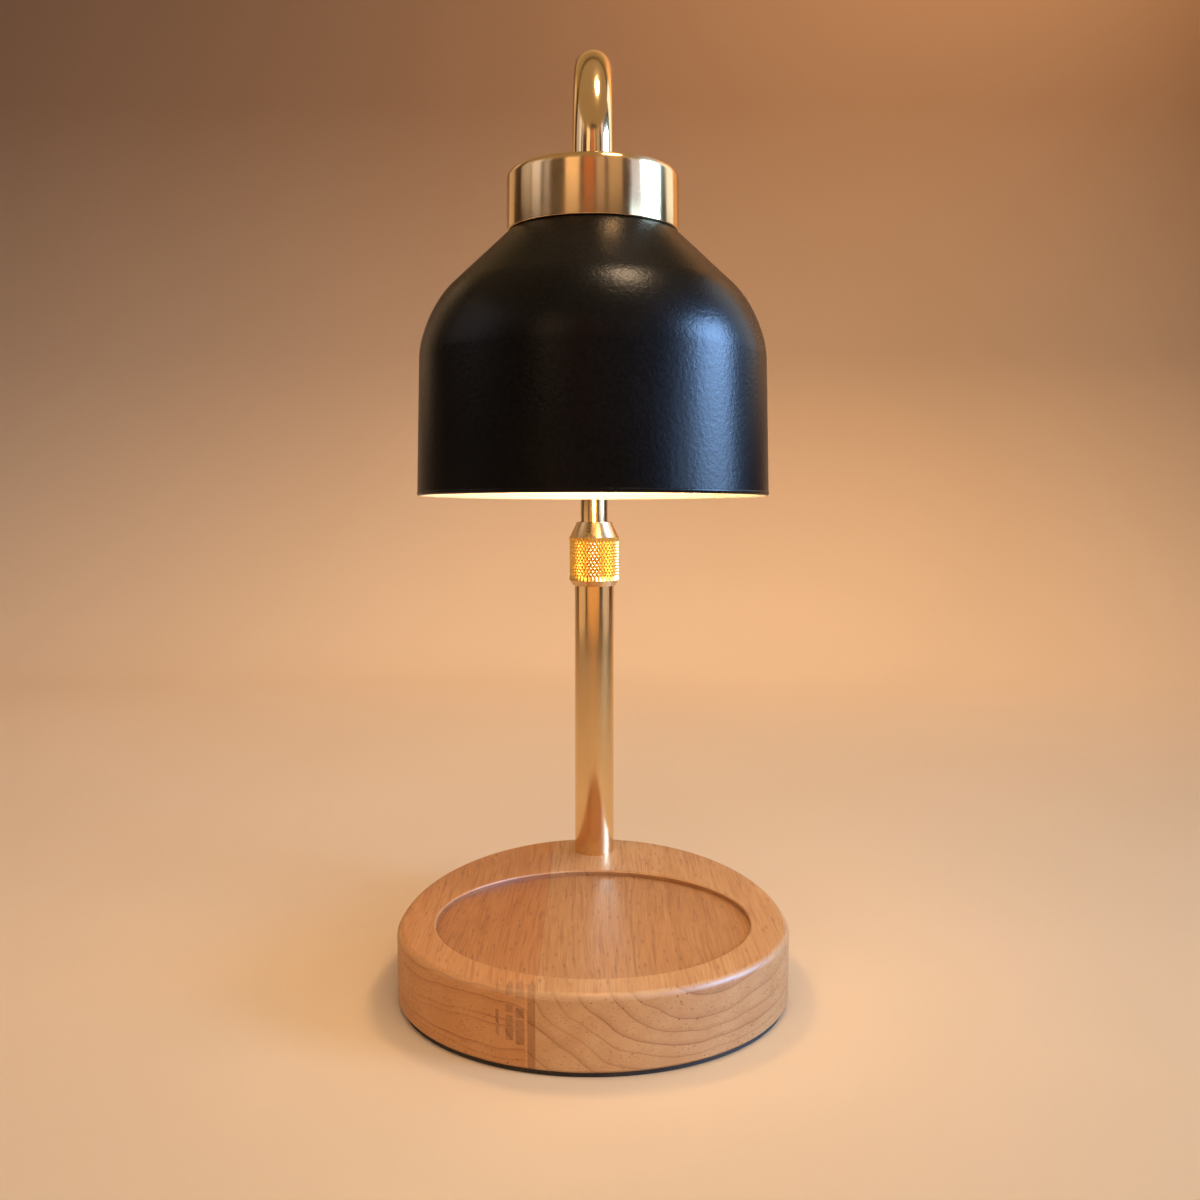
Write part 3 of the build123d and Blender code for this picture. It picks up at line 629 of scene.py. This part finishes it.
# Lampholder and lamp neck: steatite, a matt white ceramic with small specks, pressed and fired.
# The holder is screwed to the bridge under the shade's crown, and the neck is cemented to the reflector.
speck_tone = (0.60, 0.57, 0.50, 1)
steatite_tone = (0.80, 0.78, 0.72, 1)
ceramic, tree, shader = new_finish("steatite")
place = put(tree, "TexCoord").outputs["Object"]
worn = add_marks(tree, place, smears=120.0, lines=(900, 900, 900), gloss=0.4, dull=0.6)
specks = put(tree, "TexVoronoi", {"Vector": place, "Scale": 700.0}).outputs["Distance"]
ceramic_tone = two_tones(tree, specks, speck_tone, steatite_tone, span=(0.05, 0.16))
wire(tree, shader, {"Base Color": ceramic_tone, "Roughness": worn["Roughness"]})
dress(ceramic, "lampholder", "bulb_neck")

# Lamp: a pressed glass reflector with a faceted mirror coating, a small capsule, and a frosted front lens.
# It twists into the holder by its two pins, and glows warm. Most of its light falls straight down, and some
# spills on the shade's white inside, the most at the back.
mirror_cool = (0.62, 0.64, 0.68, 1)
mirror_warm = (0.74, 0.72, 0.70, 1)
lens_middle = (1.0, 0.80, 0.50, 1)
lens_ring = (1.0, 0.68, 0.34, 1)
lens_edge = (1.0, 0.55, 0.20, 1)
lamp_colour = (1.0, 0.56, 0.19)
lamp_white = (1.0, 0.62, 0.29)
mirror, tree, shader = new_finish("mirror_glass")
place = put(tree, "TexCoord").outputs["Object"]
facets = put(tree, "TexVoronoi", {"Vector": place, "Scale": 260.0}).outputs["Distance"]
facet_bump = put(tree, "Bump", {"Height": facets, "Strength": 0.4, "Distance": 0.0004})
wire(
    tree,
    shader,
    {
        "Base Color": two_tones(tree, facets, mirror_cool, mirror_warm, span=(0.1, 0.6)),
        "Metallic": 1.0,
        "Roughness": 0.12,
        "Normal": facet_bump.outputs[0],
    },
)
dress(mirror, "bulb_reflector")

glow, tree, shader = new_finish("frosted_lens")
place = put(tree, "TexCoord").outputs["Object"]
frost = put(tree, "TexNoise", {"Vector": place, "Scale": 900.0, "Detail": 2.0}).outputs["Fac"]
across_lens = stretched(tree, place, (1, 1, 0))
from_middle = put(tree, "VectorMath", {0: across_lens}, operation="LENGTH").outputs["Value"]
lens_glow = shades(tree, from_middle, [(0.004, lens_middle), (0.025, lens_edge), (0.016, lens_ring)])
wire(
    tree,
    shader,
    {
        "Base Color": (0.9, 0.86, 0.78, 1),
        "Roughness": spread(tree, frost, *most_noise, 0.25, 0.5),
        "Emission Color": lens_glow,
        "Emission Strength": 7.0,
    },
)
dress(glow, "bulb_lens", "bulb_capsule")

beam = bpy.data.lights.new("lamp_beam", "AREA")
beam.shape = "DISK"
beam.size = 0.044
beam.energy = 0.022
beam.color = lamp_colour
spill = bpy.data.lights.new("lamp_spill", "SPOT")
spill.spot_size = radians(176)
spill.spot_blend = 0.05
spill.shadow_soft_size = 0.012
spill.energy = 0.19
spill.color = lamp_white
glint = bpy.data.lights.new("lamp_glint", "POINT")
glint.shadow_soft_size = 0.008
glint.energy = 0.045
glint.color = lamp_colour
upwards = Matrix.Rotation(pi, 4, "X")
for light, place in (
    (beam, Matrix.Translation((0, 0, 0.0103))),
    (spill, Matrix.Translation((0, 0.026, -0.003)) @ upwards),
    (glint, Matrix.Translation((0, 0, 0.002))),
):
    lamp = bpy.data.objects.new(light.name, light)
    bpy.context.scene.collection.objects.link(lamp)
    lamp.matrix_world = head @ place
    lamp.visible_camera = False
    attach(lamp, "bulb")

# Lead: a thin two-core lead in a dark sheath. It runs from the terminals up the post, lies there in a loose
# fold that takes up the arm's travel, and goes on through the rod and the arch to the lampholder.
sheath_dark = (0.02, 0.018, 0.016, 1)
sheath_light = (0.035, 0.032, 0.028, 1)
slack_low, slack_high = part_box("slack_lead")
lead_gap = 0.0001
lead_radius = 0.0019
fold_reach = 0.0034
slack_long = slack_high.z - slack_low.z - 2 * lead_gap
sheath, tree, shader = new_finish("lead_sheath")
place = put(tree, "TexCoord").outputs["Object"]
worn = add_marks(tree, place, smears=200.0, lines=(1800, 1800, 1800), gloss=0.3, dull=0.5)
sheath_tone = two_tones(tree, worn["Height"], sheath_dark, sheath_light)
wire(tree, shader, {"Base Color": sheath_tone, "Roughness": worn["Roughness"]})
dress(sheath, "base_lead", "arm_lead")
bm = bmesh.new()
for foot, top, aside in (
    (0, -fold_reach, -lead_radius),
    (fold_reach, -fold_reach, 0),
    (fold_reach, 0, lead_radius),
):
    strand = bmesh.ops.create_cone(
        bm, cap_ends=True, segments=14, radius1=lead_radius, radius2=lead_radius, depth=slack_long
    )["verts"]
    for vert in strand:
        vert.co.x += top if vert.co.z > 0 else foot
        vert.co.y += aside
fold_middle = Vector((post.x, post.y, (slack_low.z + slack_high.z) / 2))
folded = piece(bm, "folded_lead", sheath, place=Matrix.Translation(fold_middle))
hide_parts("slack_lead")
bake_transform(folded)

# Stage: a pale floor that sweeps up into a warm backdrop, and soft boxes and cards round the object. Most are
# there for what the brass and the black coat reflect, and a few light the wood, the floor and the backdrop.
# The camera stands at the picture's viewing angle.
floor_tone = (0.77, 0.66, 0.53, 1)
backdrop_tone = (0.36, 0.25, 0.175, 1)
cloud_tint = (0.96, 0.96, 0.95, 1)
tone_rise = 0.55
floor_half = 5
backdrop_back = 0.95
backdrop_high = 2.2
sweep_round = 0.30
head_aim = (0, 0, 0.2)
foot_aim = (0, 0, 0.07)
card_away = 1.0
card_up = 0.68
card_high = 0.52
pale, tree, shader = new_finish("pale_floor")
place = put(tree, "TexCoord").outputs["Object"]
clouds = put(tree, "TexNoise", {"Vector": place, "Scale": 3.0, "Detail": 3.0}).outputs["Fac"]
height = put(tree, "SeparateXYZ", {0: place}).outputs[2]
sweep_tone = tinted(tree, spread(tree, height, 0.0, tone_rise, 0, 1), floor_tone, backdrop_tone, "MIX")
sweep_tone = tinted(tree, spread(tree, clouds, *most_noise, 0, 1), sweep_tone, cloud_tint)
wire(tree, shader, {"Base Color": sweep_tone, "Roughness": 0.8, "Specular IOR Level": 0.0})
bm = bmesh.new()
sweep_line = ((-floor_half, 0), (backdrop_back, 0), (backdrop_back, backdrop_high))
bend_points = [bm.verts.new((-floor_half, along, high)) for along, high in sweep_line]
for pair in zip(bend_points, bend_points[1:]):
    bm.edges.new(pair)
bmesh.ops.bevel(
    bm, geom=[bend_points[1]], offset=sweep_round, offset_type="OFFSET", affect="VERTICES", segments=24,
    profile=0.5, material=-1,
)
swept = bmesh.ops.extrude_edge_only(bm, edges=bm.edges[:])["geom"]
far_side = [part for part in swept if isinstance(part, bmesh.types.BMVert)]
bmesh.ops.translate(bm, verts=far_side, vec=(2 * floor_half, 0, 0))
bmesh.ops.recalc_face_normals(bm, faces=bm.faces)
piece(bm, "floor_sweep", pale, sharp=60.0)


def soft_box(
    name, turn, away, up, wide, high, glow, colour, aim=head_aim, reach=180, diffuse=True, glossy=True
):
    """An area light of a given glow, at a turn from the camera's side."""
    light = bpy.data.lights.new(name, "AREA")
    light.shape = "RECTANGLE"
    light.size = wide
    light.size_y = high
    light.energy = glow * pi * wide * high
    light.color = colour
    light.spread = radians(reach)
    box = bpy.data.objects.new(name, light)
    box.location = (away * sin(radians(turn)), -away * cos(radians(turn)), up)
    box.rotation_euler = (Vector(aim) - box.location).to_track_quat("-Z", "Y").to_euler()
    box.visible_camera = False
    box.visible_diffuse = diffuse
    box.visible_glossy = glossy
    bpy.context.scene.collection.objects.link(box)
    return light


shine = {"diffuse": False}
foot_shine = {"diffuse": False, "aim": foot_aim}
fill = {"glossy": False, "reach": 80}
soft_box("window_sky", 83, 1.0, 0.545, 0.48, 0.40, 56.0, (0.30, 0.54, 1.0), **shine)
soft_box("window_low", 82, 1.0, 0.255, 0.50, 0.18, 20.0, (0.34, 0.58, 1.0), **shine)
soft_box("window_blind", 58, 1.0, 0.238, 0.32, 0.145, 8.5, (0.38, 0.60, 1.0), **shine)
soft_box("card_pale", 59, card_away, card_up, 0.26, card_high, 1.1, (0.60, 0.62, 1.0), **shine)
soft_box("window_side", 122, 1.0, 0.65, 0.36, 0.70, 1.6, (0.80, 0.90, 1.0))
soft_box("window_fill", 70, 1.0, 0.30, 0.40, 0.50, 2.9, (0.63, 0.80, 1.0), **fill)
soft_box("card_left_far", -99, card_away, card_up, 0.36, card_high, 0.55, (1.0, 0.82, 0.74))
soft_box("card_left", -80, card_away, card_up, 0.28, card_high, 0.92, (1.0, 0.92, 1.0))
soft_box("card_left_edge", -63, card_away, card_up, 0.15, card_high, 0.51, (1.0, 0.88, 0.94))
soft_box("card_gold", -27, card_away, card_up, 0.34, card_high, 1.46, (1.0, 0.66, 0.40))
soft_box("card_rust", -5, card_away, card_up, 0.25, card_high, 0.61, (1.0, 0.25, 0.05))
soft_box("card_tan", 10, card_away, card_up, 0.20, card_high, 0.61, (1.0, 0.66, 0.46))
soft_box("card_tan_far", 30, card_away, card_up, 0.34, card_high, 0.51, (1.0, 0.67, 0.40))
soft_box("card_low", -5, 0.9, 0.07, 1.4, 0.14, 1.0, (1.0, 0.48, 0.15), **foot_shine)
soft_box("card_low_left", -80, 0.9, 0.07, 0.8, 0.14, 0.75, (1.0, 0.66, 0.38), **foot_shine)
soft_box("card_low_right", 78, 0.9, 0.07, 0.8, 0.14, 0.60, (1.0, 0.68, 0.42), **foot_shine)
soft_box("card_edge_left", -136, 1.0, 0.55, 0.36, 0.60, 0.5, (1.0, 0.64, 0.34), **shine)
soft_box("card_edge_right", 138, 1.0, 0.55, 0.36, 0.60, 0.7, (1.0, 0.50, 0.17), **shine)
overhead = soft_box("ceiling_lamp", 62, 0.335, 1.35, 0.29, 0.29, 31.0, (1.0, 0.72, 0.46), **shine)
overhead.shape = "ELLIPSE"
soft_box("ceiling_glow", 0, 0.45, 1.80, 4.4, 2.7, 0.30, (1.0, 0.64, 0.24), aim=(0, -0.45, 0), **shine)
soft_box("ceiling_back", 180, 0.80, 0.95, 1.8, 0.55, 0.30, (1.0, 0.64, 0.24), **shine)
soft_box("top_light", 20, 0.35, 1.10, 0.7, 0.7, 0.90, (1.0, 0.74, 0.46), **fill)
soft_box("front_fill", -25, 0.95, 0.34, 1.0, 0.20, 1.2, (1.0, 0.565, 0.25), aim=(0, 0, 0.02), **fill)
wash = {"glossy": False, "reach": 100}
soft_box("backdrop_wash", 135, 0.9, 1.2, 0.8, 0.3, 7.5, (1.0, 0.60, 0.31), aim=(0.1, 1.0, 0.42), **wash)

world = bpy.data.worlds.new("studio_air")
bpy.context.scene.world = world
world.use_nodes = True
air = world.node_tree.nodes["Background"].inputs
air["Color"].default_value = (0.28, 0.21, 0.19, 1)
air["Strength"].default_value = 0.30

look_down = 5.6
view = bpy.data.cameras.new("picture_view")
view.lens = 39.0
view.sensor_width = 36.0
view.clip_start = 0.01
camera = bpy.data.objects.new("picture_view", view)
camera.location = (0.00225, -0.42373, 0.17371)
camera.rotation_euler = (radians(90 - look_down), 0, 0)
bpy.context.scene.collection.objects.link(camera)
bpy.context.scene.camera = camera
bpy.context.scene.view_settings.view_transform = "Standard"
